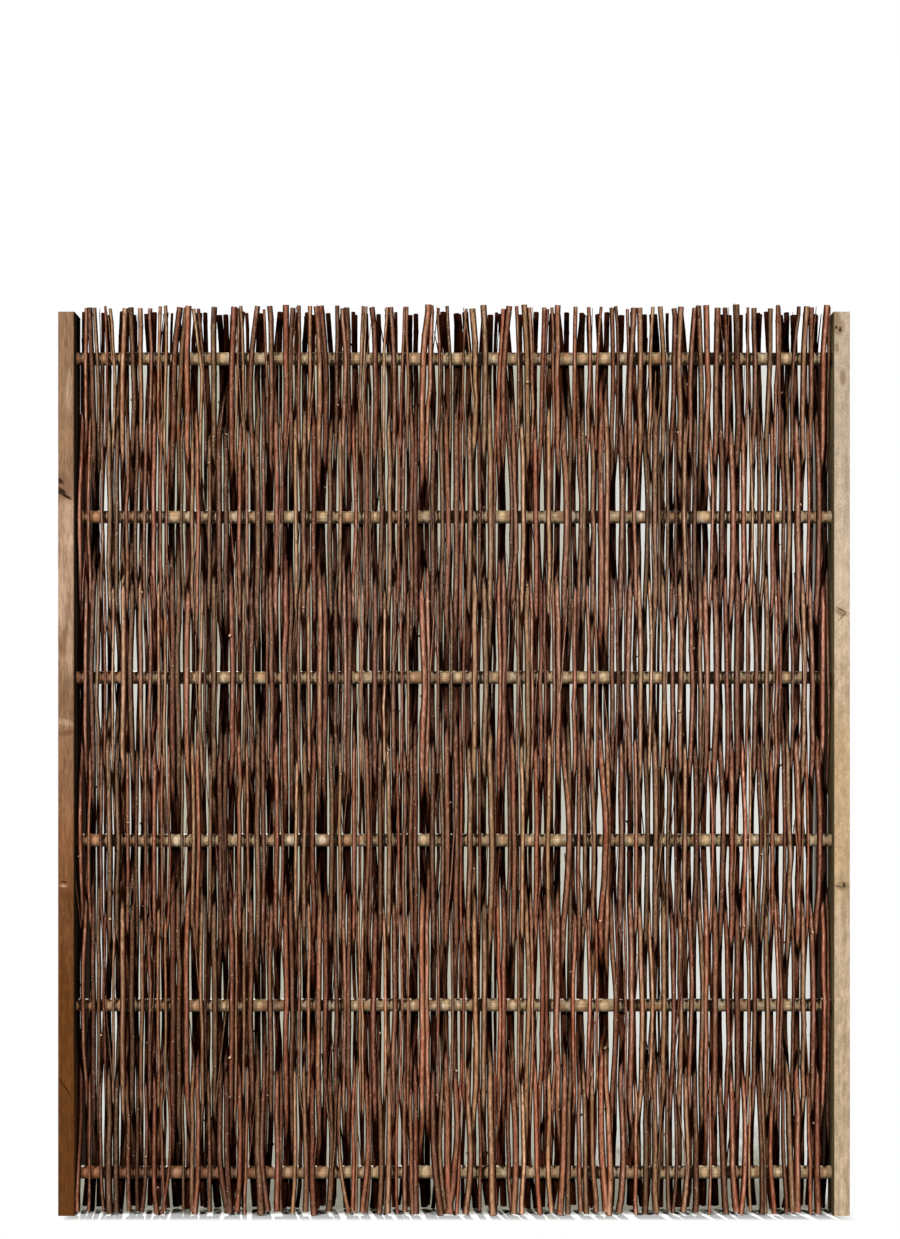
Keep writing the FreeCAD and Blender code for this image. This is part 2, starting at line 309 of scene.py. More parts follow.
def willow_bark():
    """Bark: a tone for each rod, streaks, blotches and bloom along it, pale pores and dark scars, with painted shade
    on the flanks and inward faces and painted highlights and glints down the middle.
    """
    c = colours()
    f = Finish("willow_bark_finish")
    tone = f.node("ShaderNodeAttribute", {"attribute_name": "rod_tone"}, output="Color")
    flank_shade = f.node("ShaderNodeAttribute", {"attribute_name": "rod_tone"}, output="Alpha")
    pick, light, shift = [f.node("ShaderNodeSeparateColor", None, {0: tone}, axis) for axis in range(3)]
    moved = f.grey(shift)
    streaks = f.clouds(f.place((1, 1, 0.035), moved), 420, 4, 0.6)
    blotches = f.clouds(f.place((1, 1, 0.3), moved), 300, 3, 0.65)
    patches = f.clouds(f.place((1, 1, 0.12), moved), 60, 3)
    tints = f.clouds(f.place((1, 1, 0.06), moved), 290, 3).step(0.25, 0.75)
    glints = f.clouds(f.place((1, 1, 0.4), moved), 1100, 2).step(0.56, 0.72)
    stops = [
        (0.0, c.bark_dark),
        (0.2, c.bark_brown),
        (0.42, c.bark_red),
        (0.6, c.bark_brown),
        (0.74, c.bark_tan),
        (0.88, c.bark_olive),
        (1.0, c.bark_rust),
    ]
    # Painted shade mask on the flanks and the inward faces
    side = flank_shade.step(0.15, 0.9)
    face = 1 - side
    # Painted highlight along the middle of each rod's front and back
    ridge_highlight = (1 - flank_shade.step(0.0, 0.4)) * streaks.step(0.38, 0.62)

    # Parts of the panel with a look of their own
    x, _, z = f.axes()
    waist = 1 - (z - 0.92).size().step(0.1, 0.3)
    dark_corner = (1 - x.step(-0.6, -0.15)) * (1 - z.step(0.1, 0.75))
    bright_foot = (1 - (x - 0.07).size().step(0.1, 0.36)) * (1 - z.step(0.25, 0.5))
    red_foot = (1 - z.step(0.3, 0.65)) * (1 - x.step(0.0, 0.4) * 0.5)
    brown_top = x.step(-0.1, 0.4) * z.step(0.95, 1.2)

    # Hue
    base = f.ramp(pick * 0.7 + tints * 0.3 + (patches - 0.5) * 0.3, stops)
    # Painted shade: flanks and inward faces darken to wine red
    base = f.mix(side * 0.85, base, c.bark_flank_shade)
    # Painted highlight: pale mauve down the middle of each rod; real bloom in blotches
    base = f.mix(ridge_highlight * 0.55 + blotches.step(0.52, 0.75) * 0.22 + waist * 0.07, base, c.bloom_and_highlight)
    base = f.mix(red_foot * 0.22 * face, base, c.bark_red)
    base = f.mix(brown_top * 0.25 * face, base, c.bark_brown)

    # Light and dark: streaks, blotches and each rod's own lightness, painted shade on the flanks and inward faces, a
    # painted highlight down the middle, a darker lower left, a brighter lower middle and a darker top right
    shade = (streaks * 2.1 + blotches * 1.2 - 0.68) * (0.42 + light * 0.95) * (1.6 - side * 1.44)
    shade = shade * (1 - dark_corner * 0.4) * (1 + bright_foot * 0.26) * (1 - brown_top * 0.12)
    base = f.mix(1.0, base, f.grey(shade.most(0.03)), "MULTIPLY")

    # Painted glints on the outward faces, pale pores and dark scars
    base = f.mix(glints * face * 0.3, base, c.fleck_and_glint)
    pores = f.cells(f.place((1, 1, 0.6), moved), 280.0)
    pore_mask = (1 - pores.step(0.12, 0.26)) * f.clouds(f.place(), 90, 1).step(0.5, 0.62) * face
    base = f.mix(pore_mask * 0.75, base, c.fleck_and_glint)
    scars = f.cells(f.place((1, 1, 0.4), moved), 130.0)
    base = f.mix((1 - scars.step(0.08, 0.22)) * 0.7, base, c.bark_dark)
    roughness = 0.36 + streaks * 0.22
    relief = streaks * 0.6 + blotches * 0.4 + pore_mask * 0.5
    return f.surface(base, roughness, f.bump(relief, 0.8 * MM), **{"Specular IOR Level": 0.0})


def cut_wood():
    """Pale end grain with rings and a dark pith."""
    c = colours()
    f = Finish("cut_wood_finish")
    rough = f.clouds(f.place(), 900, 3)
    stain = f.clouds(f.place(), 120, 2)
    base = f.mix(1.0, c.cut_wood, f.grey(0.45 + rough * 0.4 + stain * 0.5), "MULTIPLY")
    return f.surface(base, 0.7 + rough * 0.2, f.bump(rough, 0.4 * MM))


def rail_pole():
    """Peeled pole: fibres along it, brown nodes, stretches of bark and a rusty left end."""
    c = colours()
    f = Finish("rail_pole_finish")
    fibres = f.clouds(f.place((0.04, 1, 1)), 520, 4, 0.6)
    stretches = f.clouds(f.place((0.25, 0.6, 0.6)), 22, 3)
    base = f.mix(fibres.step(0.3, 0.7), c.rail_tan, c.rail_pale)
    base = f.mix(stretches.step(0.52, 0.7) * 0.75, base, c.rail_bark)
    patches = f.clouds(f.place((0.8, 0.6, 0.6)), 75, 3)
    base = f.mix(patches.step(0.5, 0.66) * 0.55, base, c.rail_rust)
    base = f.mix((1 - patches.step(0.34, 0.46)) * 0.6, base, c.rail_cream)
    spots = f.cells(f.place((0.8, 1, 1)), 70.0)
    base = f.mix((1 - spots.step(0.06, 0.16)) * 0.6, base, c.rail_bark)
    x, _, z = f.axes()
    left_end = 1 - x.step(-0.565, -0.42)
    low_left = (1 - x.step(-0.32, -0.1)) * (1 - z.step(0.1, 0.2))
    base = f.mix(left_end * 0.75, base, c.rail_rust)
    base = f.mix(low_left * 0.75, base, c.bark_rust)
    base = f.mix(1.0, base, f.grey(0.62 + fibres * 0.55), "MULTIPLY")
    relief = fibres * 0.6 + stretches * 0.4
    return f.surface(base, 0.5 + fibres * 0.25, f.bump(relief, 0.6 * MM), **{"Specular IOR Level": 0.4})


def oval_marks(f, axes, edge, spots):
    """Soft ovals on a batten's front: place across from an edge and height, half sizes, and fall per unit across."""
    x, y, z = axes
    total = None
    for across, up, half_width, half_height, fall in spots:
        aside = x - (edge + across * MM)
        oval = (aside / (half_width * MM)) ** 2 + ((z - up + aside * fall) / (half_height * MM)) ** 2
        one = 1 - oval.step(0.2, 1.3)
        total = one if total is None else total.most(one)
    return total * (1 - y.step(-0.014, 0.004))


def left_timber():
    """Rosy sawn timber, paler in the middle and dark towards the foot, with cracked knots."""
    c = colours()
    f = Finish("left_timber_finish")
    axes = f.axes()
    low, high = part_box("left_batten")
    cracks = [
        (0, 1.115, 10, 5, 0.5),
        (4, 1.098, 10, 6, 0.45),
        (13, 1.09, 10, 3, 0.5),
        (9, 0.506, 5, 1.2, 0.1),
        (10, 0.196, 13, 1.6, 1.4),
    ]
    smudges = [
        (6, 1.106, 18, 24, 0.2),
        (12, 0.87, 16, 26, 0.0),
        (15, 0.732, 16, 5, -0.2),
        (14, 0.484, 16, 8, 0.0),
        (12, 0.186, 17, 12, 1.0),
        (22, 0.06, 6, 90, 0.0),
    ]
    pales = [
        (19, 1.045, 12, 45, 0.0),
        (11, 0.748, 17, 6, 0.2),
        (8, 0.5, 7, 2.5, 0.1),
        (5, 0.93, 8, 60, 0.0),
        (18, 0.86, 6, 50, 0.0),
        (16, 1.25, 5, 40, 0.0),
    ]
    grain = f.clouds(f.place((1, 1, 0.02)), 260, 5, 0.6).step(0.25, 0.75)
    flecks = f.clouds(f.place((1, 1, 0.16)), 420, 4, 0.65).step(0.25, 0.75)
    waves = f.clouds(f.place((1, 1, 0.3)), 40, 3)
    height = axes[2] / TIP_HEIGHT + (waves - 0.5) * 0.16
    stops = [
        (0.0, c.left_foot),
        (0.25, c.left_foot),
        (0.43, c.left_warm),
        (0.58, c.left_top),
        (0.69, c.left_middle),
        (0.77, c.left_middle),
        (0.82, c.left_top),
    ]
    base = f.ramp(height, stops)
    base = f.mix(1.0, base, f.grey(0.14 + grain * 0.35 + flecks * 0.65 + waves * 0.72), "MULTIPLY")
    base = f.mix(oval_marks(f, axes, low.x, smudges) * (0.3 + flecks * 0.4), base, c.left_foot)
    base = f.mix(oval_marks(f, axes, low.x, pales) * (0.1 + flecks * 0.5), base, c.left_pale)
    knots = oval_marks(f, axes, low.x, cracks) * (0.7 + flecks * 0.5)
    base = f.mix(knots, base, c.knot)
    # Painted shade: the inner side next to the rods goes black, brown near the foot
    inner = axes[0].step(high.x - 2 * MM, high.x - 0.6 * MM)
    foot = 1 - axes[2].step(0.1, 0.32)
    base = f.mix(inner * 0.97, base, f.mix(foot * 0.6, c.left_inner_shade, c.left_foot))
    relief = grain * 0.5 + flecks * 0.4 - knots * 0.5
    return f.surface(base, 0.58 + grain * 0.25, f.bump(relief, 0.7 * MM), **{"Specular IOR Level": 0.0})


def right_timber():
    """Pale rough sawn timber, mottled and stained, with small knots and thin cracks."""
    c = colours()
    f = Finish("right_timber_finish")
    axes = f.axes()
    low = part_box("right_batten")[0]
    cracks = [
        (4, 1.346, 2.2, 3, 0.0),
        (10, 1.343, 2.6, 4.5, 0.0),
        (11, 0.919, 9, 1.1, 0.5),
        (13, 0.908, 8, 1.1, -1.2),
        (16, 0.501, 2.4, 4.5, 0.3),
        (9, 0.499, 9, 0.9, 0.2),
    ]
    smudges = [
        (8, 1.347, 10, 14, 0.0),
        (4, 1.36, 7, 12, 0.0),
        (5, 1.315, 4, 9, 0.0),
        (14, 1.27, 5, 14, 0.0),
        (12, 0.914, 11, 6, 0.3),
        (14, 0.5, 12, 8, 0.0),
    ]
    grain = f.clouds(f.place((1, 1, 0.025)), 240, 5, 0.65).step(0.25, 0.75)
    fuzz = f.clouds(f.place((1, 1, 0.4)), 620, 4, 0.75).step(0.25, 0.75)
    mottle = f.clouds(f.place((1, 1, 0.45)), 95, 4, 0.65).step(0.28, 0.72)
    tan = 1 - (axes[2] - 0.62).size().step(0.07, 0.2)
    base = f.mix(mottle * 0.6 + grain * 0.4, c.right_dark, c.right_pale)
    base = f.mix(tan * 0.6, base, c.right_tan)
    base = f.mix(axes[2].step(0.8, 1.05) * 0.6, base, c.right_grey)
    # Darker towards the top
    darker_upwards = 1 - axes[2].step(0.5, 1.37) * 0.12 - axes[2].step(0.95, 1.2) * 0.15
    base = f.mix(1.0, base, f.grey((0.6 + grain * 0.2 + fuzz * 0.55 + mottle * 0.25) * darker_upwards), "MULTIPLY")
    base = f.mix(oval_marks(f, axes, low.x, smudges) * (0.35 + fuzz * 0.6), base, c.right_stain)
    knots = oval_marks(f, axes, low.x, cracks) * (0.6 + fuzz * 0.6)
    base = f.mix(knots, base, c.knot)
    # Painted shade: the inner side goes olive brown, nearly black behind the rods
    inner = 1 - axes[0].step(low.x + 0.6 * MM, low.x + 2 * MM)
    base = f.mix(inner * 0.95, base, f.mix(axes[1].step(-0.016, 0.006), c.right_inner_shade, c.right_inner_deep_shade))
    relief = grain * 0.4 + fuzz * 0.7 + mottle * 0.3 - knots * 0.3
    return f.surface(base, 0.68 + fuzz * 0.22, f.bump(relief, 0.9 * MM), **{"Specular IOR Level": 0.0})


def nail_steel():
    """Dull steel with brown rust blooms."""
    c = colours()
    f = Finish("nail_steel_finish")
    scale = f.clouds(f.place(), 500, 4)
    rust = f.clouds(f.place(), 130, 3).step(0.42, 0.62)
    base = f.mix(rust * 0.7, c.steel, c.bark_rust)
    return f.surface(base, 0.4 + rust * 0.4, f.bump(scale, 0.2 * MM), Metallic=0.8)


MADE = {}


def material(maker):
    """The material that a function makes, made once."""
    if maker not in MADE:
        MADE[maker] = maker()
    return MADE[maker]


# Modelling helpers

def start_piece():
    """Leave edit mode and selection empty before the next piece."""
    if bpy.context.object and bpy.context.object.mode != "OBJECT":
        bpy.ops.object.mode_set(mode="OBJECT")
    bpy.ops.object.select_all(action="DESELECT")


def select_only(objects):
    start_piece()
    for piece in objects:
        piece.select_set(True)
    bpy.context.view_layer.objects.active = objects[0]


def finish_piece(piece, name, node):
    """Name a piece, hang it on the root and hide the CAD node it stands in for."""
    piece.name = name
    piece.data.name = name
    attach(piece, "root")
    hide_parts(node)


def round_poles(lines, sides):
    """Mesh of round tapered poles. Each line is a list of points and a list of radii."""
    start_piece()
    bpy.ops.curve.primitive_nurbs_path_add()
    pole = bpy.context.object
    pole.data.splines.clear()
    for points, radii in lines:
        spline = pole.data.splines.new("POLY")
        spline.points.add(len(points) - 1)
        spline.points.foreach_set("co", np.column_stack([points, np.ones(len(points))]).ravel())
        spline.points.foreach_set("radius", radii)
    pole.data.bevel_depth = 1.0
    pole.data.bevel_resolution = (sides - 4) // 2
    pole.data.use_fill_caps = True
    pole.location = (0, 0, 0)
    bpy.ops.object.convert(target="MESH")
    bpy.ops.object.mode_set(mode="EDIT")
    bpy.ops.mesh.select_all(action="SELECT")
    bpy.ops.mesh.remove_doubles(threshold=0.005 * MM)
    bpy.ops.mesh.normals_make_consistent(inside=False)
    bpy.ops.object.mode_set(mode="OBJECT")
    bpy.ops.object.shade_smooth_by_angle(angle=math.radians(50))
    return bpy.context.object


def paint_cut_ends(pole, bark, ends):
    """Bark on the long faces, cut wood on the triangles that close the ends."""
    pole.data.materials.clear()
    pole.data.materials.append(bark)
    pole.data.materials.append(ends)
    for face in pole.data.polygons:
        face.material_index = 1 if len(face.vertices) == 3 else 0


def store_tone_and_shade(pole, tone):
    """Give every point of a rod the same tone, for its bark, and mark the flanks and the faces turned inwards for
    painted shade.
    """
    count = len(pole.data.vertices)
    places = np.empty(3 * count)
    normals = np.empty(3 * count)
    pole.data.vertices.foreach_get("co", places)
    pole.data.vertices.foreach_get("normal", normals)
    # Weight of the painted shade: flanks, and faces turned in towards the middle of the weave
    flanks = np.abs(normals[::3])
    inner = np.clip(-normals[1::3] * places[1::3] / RAIL_RADIUS, 0, 1)
    flank_shade = np.maximum(flanks, 0.85 * inner)
    layer = pole.data.attributes.new("rod_tone", "FLOAT_COLOR", "POINT")
    layer.data.foreach_set("color", np.column_stack([np.tile(tone, (count, 1)), flank_shade]).ravel())


# Willow rods

ROD_SIDES = 10
BUNDLE_SIZES = (1, 2, 2, 3)
FOOT_PULLS = (-0.4, 0.5)
TIP_PULLS = (0.1, 0.5)
SEAT_FOLLOW = 0.3  # how much of an end's lean its outer seat takes
RIDE_CHANCE = 0.25
STUB_CHANCE = 0.05
SHOOT_CHANCE = 0.09


class Rod:
    """One straight-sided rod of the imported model: centres and radii of its bends, foot first."""

    def __init__(self, node, number, centres, radii):
        self.node = node
        self.draw = random.Random(f"{node} rod {number}")
        self.heights = centres[:, 2]
        self.centres = centres
        self.radii = radii

    def place(self, height):
        """Centre at a height, in X and Y."""
        return np.array([np.interp(height, self.heights, self.centres[:, axis]) for axis in range(2)])

    def radius(self, heights):
        return np.interp(heights, self.heights, self.radii) * sizes().fullness


def read_rods(node):
    """The rods of a CAD node, from left to right."""
    shell = bmesh.new()
    shell.from_mesh(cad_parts[node].data)
    bmesh.ops.remove_doubles(shell, verts=shell.verts, dist=0.001 * MM)
    found = []
    waiting = set(shell.verts)
    while waiting:
        island = [waiting.pop()]
        for corner in island:
            for edge in corner.link_edges:
                other = edge.other_vert(corner)
                if other in waiting:
                    waiting.remove(other)
                    island.append(other)
        corners = np.array([corner.co for corner in island])
        centres = []
        radii = []
        for level in np.unique(np.round(corners[:, 2], 5)):
            ring = corners[np.abs(corners[:, 2] - level) < 0.02 * MM]
            centres.append(ring.mean(0))
            radii.append(np.linalg.norm(ring - ring.mean(0), axis=1).max())
        found.append((np.array(centres), np.array(radii)))
    shell.free()
    found.sort(key=lambda rod: rod[0][:, 0].mean())
    return [Rod(node, number, *rod) for number, rod in enumerate(found)]


def read_strands(rods):
    """Neighbours that pass the second rail on the same side."""
    strands = []
    last_side = None
    for rod in rods:
        side = np.sign(rod.place(RAIL_HEIGHTS[1])[1])
        if side != last_side:
            strands.append([])
        strands[-1].append(rod)
        last_side = side
    return strands


def springy_line(knots, places, heights):
    """The line a springy rod takes through its supports: a natural cubic spline over height."""
    gaps = np.diff(knots)
    last = len(knots) - 1
    system = np.eye(last + 1)
    load = np.zeros_like(places)
    for k in range(1, last):
        system[k, k - 1 : k + 2] = gaps[k - 1], 2 * (gaps[k - 1] + gaps[k]), gaps[k]
        load[k] = 6 * ((places[k + 1] - places[k]) / gaps[k] - (places[k] - places[k - 1]) / gaps[k - 1])
    bend = np.linalg.solve(system, load)
    span = np.clip(np.searchsorted(knots, heights) - 1, 0, last - 1)
    gap = gaps[span][:, None]
    above = (heights - knots[span])[:, None]
    below = gap - above
    curve = (bend[span] * below**3 + bend[span + 1] * above**3) / (6 * gap)
    lower = (places[span] / gap - bend[span] * gap / 6) * below
    upper = (places[span + 1] / gap - bend[span + 1] * gap / 6) * above
    return curve + lower + upper


def wander(draw, heights, reach):
    """Slow sideways stray of a grown rod, in X and Y."""
    stray = np.zeros((len(heights), 2))
    for wavelength, share in ((0.62, 0.5), (0.27, 0.35), (0.11, 0.15)):
        for axis in range(2):
            phase = draw.uniform(0, 2 * math.pi)
            stray[:, axis] += share * np.sin(2 * math.pi * heights / wavelength + phase)
    return stray * reach


def chance(draw):
    """Bell-shaped chance value without far outliers."""
    return max(-1.8, min(1.8, draw.gauss(0, 1)))


def gather_ends(strands, rail, pulls):
    """Lean of each strand's free ends past a rail: neighbours on one side of it close up in twos and threes."""
    draw = random.Random(f"ends past {rail:.3f}")
    leans = {}
    for side in (-1, 1):
        row = [strand for strand in strands if np.sign(strand[0].place(rail)[1]) == side]
        while row:
            size = draw.choice(BUNDLE_SIZES)
            bundle, row = row[:size], row[size:]
            places = [np.mean([rod.place(rail)[0] for rod in strand]) for strand in bundle]
            pull = draw.uniform(*pulls)
            for strand, place in zip(bundle, places):
                leans[id(strand)] = (np.mean(places) - place) * pull
    return leans


def settle_strand(strand, foot_lean, tip_lean):
    """Supports of each rod of a strand: its seats on the rails, pushed about by its mate, and its free ends."""
    s = sizes()
    rails = np.array(RAIL_HEIGHTS)
    crossings = (rails[1:] + rails[:-1]) / 2
    settled = []
    for rod in strand:
        knots = np.concatenate([[rod.heights[0]], np.sort(np.concatenate([rails, crossings])), [rod.heights[-1]]])
        places = np.array([rod.place(knot) for knot in knots])
        for seat in range(1, len(knots) - 1, 2):
            places[seat, 0] += chance(rod.draw) * s.seat_shift
            bearing = RAIL_RADIUS + rod.radius(knots[seat])
            places[seat, 1] = np.sign(places[seat, 1]) * max(abs(places[seat, 1]), bearing)
        for crossing in range(2, len(knots) - 2, 2):
            places[crossing, 0] += chance(rod.draw) * s.crossing_shift
            places[crossing, 1] += chance(rod.draw) * s.crossing_depth
        for end, seat, lean, shift in ((0, 1, foot_lean, s.foot_shift), (-1, -2, tip_lean, s.tip_shift)):
            places[seat, 0] += SEAT_FOLLOW * lean
            places[end, 0] += lean + chance(rod.draw) * shift
        settled.append([knots, places])
    if len(strand) == 2:
        push_over(strand, settled)
    return settled


def push_over(strand, settled):
    """At some rails one rod of a pair rides on its mate."""
    draw = strand[0].draw
    for seat in range(1, len(settled[0][0]) - 1, 2):
        if draw.random() < RIDE_CHANCE:
            rider = draw.randrange(2)
            mate = 1 - rider
            place = settled[rider][1][seat]
            thickness = 2 * strand[rider].radius(settled[rider][0][seat])
            towards = np.sign(settled[mate][1][seat][0] - place[0])
            place[0] += towards * draw.uniform(0.2, 0.45) * thickness
            place[1] += np.sign(place[1]) * 0.5 * thickness


def rod_lines(rod, knots, places):
    """Points and radii of one rod, and of its cut stubs and thin side shoots."""
    s = sizes()
    draw = rod.draw
    foot, tip = knots[0], knots[-1]
    buds = []
    height = foot + s.node_spacing * draw.uniform(0.2, 1.0)
    while height < tip - 2 * s.node_half_width:
        buds.append(height)
        height += s.node_spacing * draw.uniform(0.6, 1.4)
    buds = np.array(buds)
    even = np.linspace(foot, tip, int((tip - foot) / s.ring_spacing))
    clear = [h for h in even if np.abs(buds - h).min() > 1.4 * s.node_half_width]
    around = [buds, buds - s.node_half_width, buds + s.node_half_width]
    heights = np.unique(np.concatenate([clear, *around, [foot, tip]]))

    line = springy_line(knots, places, heights) + wander(draw, heights, s.rod_wander)
    kinks = [chance(draw) * s.bud_kink for _ in buds]
    line[:, 0] += np.interp(heights, [foot, *buds, tip], [0, *kinks, 0])
    points = np.column_stack([line, heights])
    swelling = np.array([draw.uniform(0.03, 0.1) for _ in buds])
    near = np.abs(heights[:, None] - buds[None, :]) < 0.1 * MM
    butt = np.clip(1 - (heights - foot) / s.butt_reach, 0, 1)
    thickness = rod.radius(heights) * (1 + (near * swelling).sum(1)) * (1 + s.butt_swell * butt)
    lines = [(points, thickness)]
    for bud in buds:
        growth = draw.random()
        if growth < STUB_CHANCE:
            lines.append(stub_line(draw, points, thickness, bud))
        elif growth < STUB_CHANCE + SHOOT_CHANCE:
            lines.append(shoot_line(draw, points, thickness, bud))
    return lines


def stub_line(draw, points, thickness, height):
    """Short cut side branch at a bud."""
    root = np.array([np.interp(height, points[:, 2], points[:, axis]) for axis in range(3)])
    radius = np.interp(height, points[:, 2], thickness)
    turn = draw.uniform(0, 2 * math.pi)
    rise = draw.uniform(0.5, 1.0)
    way = np.array([math.cos(turn), math.sin(turn), rise])
    way /= np.linalg.norm(way)
    reach = radius + sizes().stub_length * draw.uniform(0.3, 1.0)
    stub = np.array([root, root + way * reach * 0.6, root + way * reach])
    width = draw.uniform(0.28, 0.45) * radius
    return stub, np.array([width * 1.3, width * 1.1, width])


def shoot_line(draw, points, thickness, height):
    """Thin side shoot that leaves a bud and climbs beside its rod at a slant."""
    share = np.linspace(0, 1, 9)
    room = points[-1, 2] - height
    climb = share * min(room, sizes().shoot_length * draw.uniform(0.4, 1.0))
    heights = height + climb
    radius = np.interp(height, points[:, 2], thickness)
    width = radius * draw.uniform(0.25, 0.42)
    lean = draw.choice((-1, 1)) * draw.uniform(0.03, 0.1)
    side = draw.choice((-1, -1, 1))
    beside = np.column_stack([np.interp(heights, points[:, 2], points[:, axis]) for axis in range(2)])
    beside[:, 0] += lean * climb + wander(draw, heights, 0.8 * MM)[:, 0]
    beside[:, 1] += side * (radius + width) * np.minimum(1.0, 4 * share)
    return np.column_stack([beside, heights]), width * (1 - 0.6 * share)


class WILLOW_OT_rods(bpy.types.Operator):
    """Round, bent willow rods in place of the flat-sided ones"""

    bl_idname = "willow.rods"
    bl_label = "Willow Rods"

    def execute(self, context):
        poles = {node: [] for node in ROD_NODES}
        rods = [rod for node in ROD_NODES for rod in read_rods(node)]
        strands = read_strands(rods)
        foot_leans = gather_ends(strands, RAIL_HEIGHTS[0], FOOT_PULLS)
        tip_leans = gather_ends(strands, RAIL_HEIGHTS[-1], TIP_PULLS)
        for strand in strands:
            settled = settle_strand(strand, foot_leans[id(strand)], tip_leans[id(strand)])
            for rod, (knots, places) in zip(strand, settled):
                pole = round_poles(rod_lines(rod, knots, places), ROD_SIDES)
                paint_cut_ends(pole, material(willow_bark), material(cut_wood))
                store_tone_and_shade(pole, [rod.draw.random(), rod.draw.random(), rod.draw.random()])
                poles[rod.node].append(pole)
        for node in ROD_NODES:
            select_only(poles[node])
            bpy.ops.object.join()
            finish_piece(context.object, f"dressed_{node}", node)
        return {"FINISHED"}


# Rails

RAIL_SIDES = 20
RAIL_RINGS = 120


def rail_line(draw, node):
    """Points and radii of a slightly crooked pole."""
    low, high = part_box(node)
    along = np.linspace(low.x, high.x, RAIL_RINGS)
    heart = (low + high) / 2
    radius = (high.z - low.z) / 2
    stray = wander(draw, along, sizes().rail_wander)
    stray *= np.minimum(1.0, (high.x - np.abs(along)) / (high.x * 0.1))[:, None]
    points = np.column_stack([along, heart.y + stray[:, 0], heart.z + stray[:, 1]])
    uneven = np.array([noise.noise(Vector((x * 9, heart.z * 7, 0))) for x in along])
    return points, radius * (0.985 + 0.03 * uneven)


class WILLOW_OT_rails(bpy.types.Operator):
    """Peeled poles in place of the plain round rails"""

    bl_idname = "willow.rails"
    bl_label = "Rails"

    def execute(self, context):
        for node in RAIL_NODES:
            draw = random.Random(node)
            pole = round_poles([rail_line(draw, node)], RAIL_SIDES)
            paint_cut_ends(pole, material(rail_pole), material(cut_wood))
            finish_piece(pole, f"dressed_{node}", node)
        return {"FINISHED"}


# Battens

def select_upright_edges(stick):
    """In edit mode, select only the edges that run up the batten."""
    bpy.ops.mesh.select_mode(type="EDGE")
    bpy.ops.mesh.select_all(action="DESELECT")
    edit = bmesh.from_edit_mesh(stick.data)
    for edge in edit.edges:
        first, second = [corner.co for corner in edge.verts]
        edge.select_set(abs(first.z - second.z) > 0.5 * edge.calc_length())
    bmesh.update_edit_mesh(stick.data)


def wear_edges(stick, reach):
    """Let the corners of a sawn stick run a little out of true."""
    heart = sum((corner.co for corner in stick.data.vertices), Vector()) / len(stick.data.vertices)
    for corner in stick.data.vertices:
        out = Vector((corner.co.x - heart.x, corner.co.y - heart.y, 0)).normalized()
        spot = Vector((out.x * 3, out.y * 3, corner.co.z * 26))
        rough = 0.6 * noise.noise(spot) + 0.4 * noise.noise(spot * 3.1)
        corner.co -= out * reach * max(0.0, rough)


def cut_nail_recesses(stick, node):
    """Square recesses for the nail heads in the outer face."""
    low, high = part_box(node)
    outer = low.x if low.x < 0 else high.x
    block = (4 * MM, sizes().recess, sizes().recess)
    start_piece()
    cutters = []
    for height in RAIL_HEIGHTS:
        bpy.ops.mesh.primitive_cube_add(size=1, location=(outer, 0, height), scale=block)
        cutters.append(bpy.context.object)
    select_only(cutters)
    bpy.ops.object.join()
    bpy.ops.object.transform_apply(location=True, rotation=True, scale=True)
    cutter = bpy.context.object
    select_only([stick])
    cut = stick.modifiers.new("Nail Recesses", "BOOLEAN")
    cut.object = cutter
    cut.solver = "EXACT"
    bpy.ops.object.modifier_apply(modifier=cut.name)
    bpy.data.objects.remove(cutter)


def sawn_batten(node):
    """Stick with eased, slightly worn edges and nail recesses."""
    low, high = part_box(node)
    start_piece()
    bpy.ops.mesh.primitive_cube_add(size=1, location=(low + high) / 2, scale=high - low)
    stick = bpy.context.object
    bpy.ops.object.transform_apply(location=True, rotation=True, scale=True)
    bpy.ops.object.mode_set(mode="EDIT")
    select_upright_edges(stick)
    bpy.ops.mesh.bevel(offset=sizes().arris, segments=2, affect="EDGES")
    select_upright_edges(stick)
    bpy.ops.mesh.subdivide(number_cuts=90)
    bpy.ops.object.mode_set(mode="OBJECT")
    wear_edges(stick, sizes().batten_wear)
    cut_nail_recesses(stick, node)
    bpy.ops.object.shade_smooth_by_angle(angle=math.radians(30))
    return stick


class WILLOW_OT_battens(bpy.types.Operator):
    """Sawn side battens with worn edges"""

    bl_idname = "willow.battens"
    bl_label = "Side Battens"

    def execute(self, context):
        for node, timber in (("left_batten", left_timber), ("right_batten", right_timber)):
            stick = sawn_batten(node)
            stick.data.materials.append(material(timber))
            finish_piece(stick, f"dressed_{node}", node)
        return {"FINISHED"}


class WILLOW_OT_nails(bpy.types.Operator):
    """Dull steel on the nails"""

    bl_idname = "willow.nails"
    bl_label = "Nails"

    def execute(self, context):
        for node in NAIL_NODES:
            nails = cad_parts[node]
            nails.data.materials.clear()
            nails.data.materials.append(material(nail_steel))
        return {"FINISHED"}


# Studio

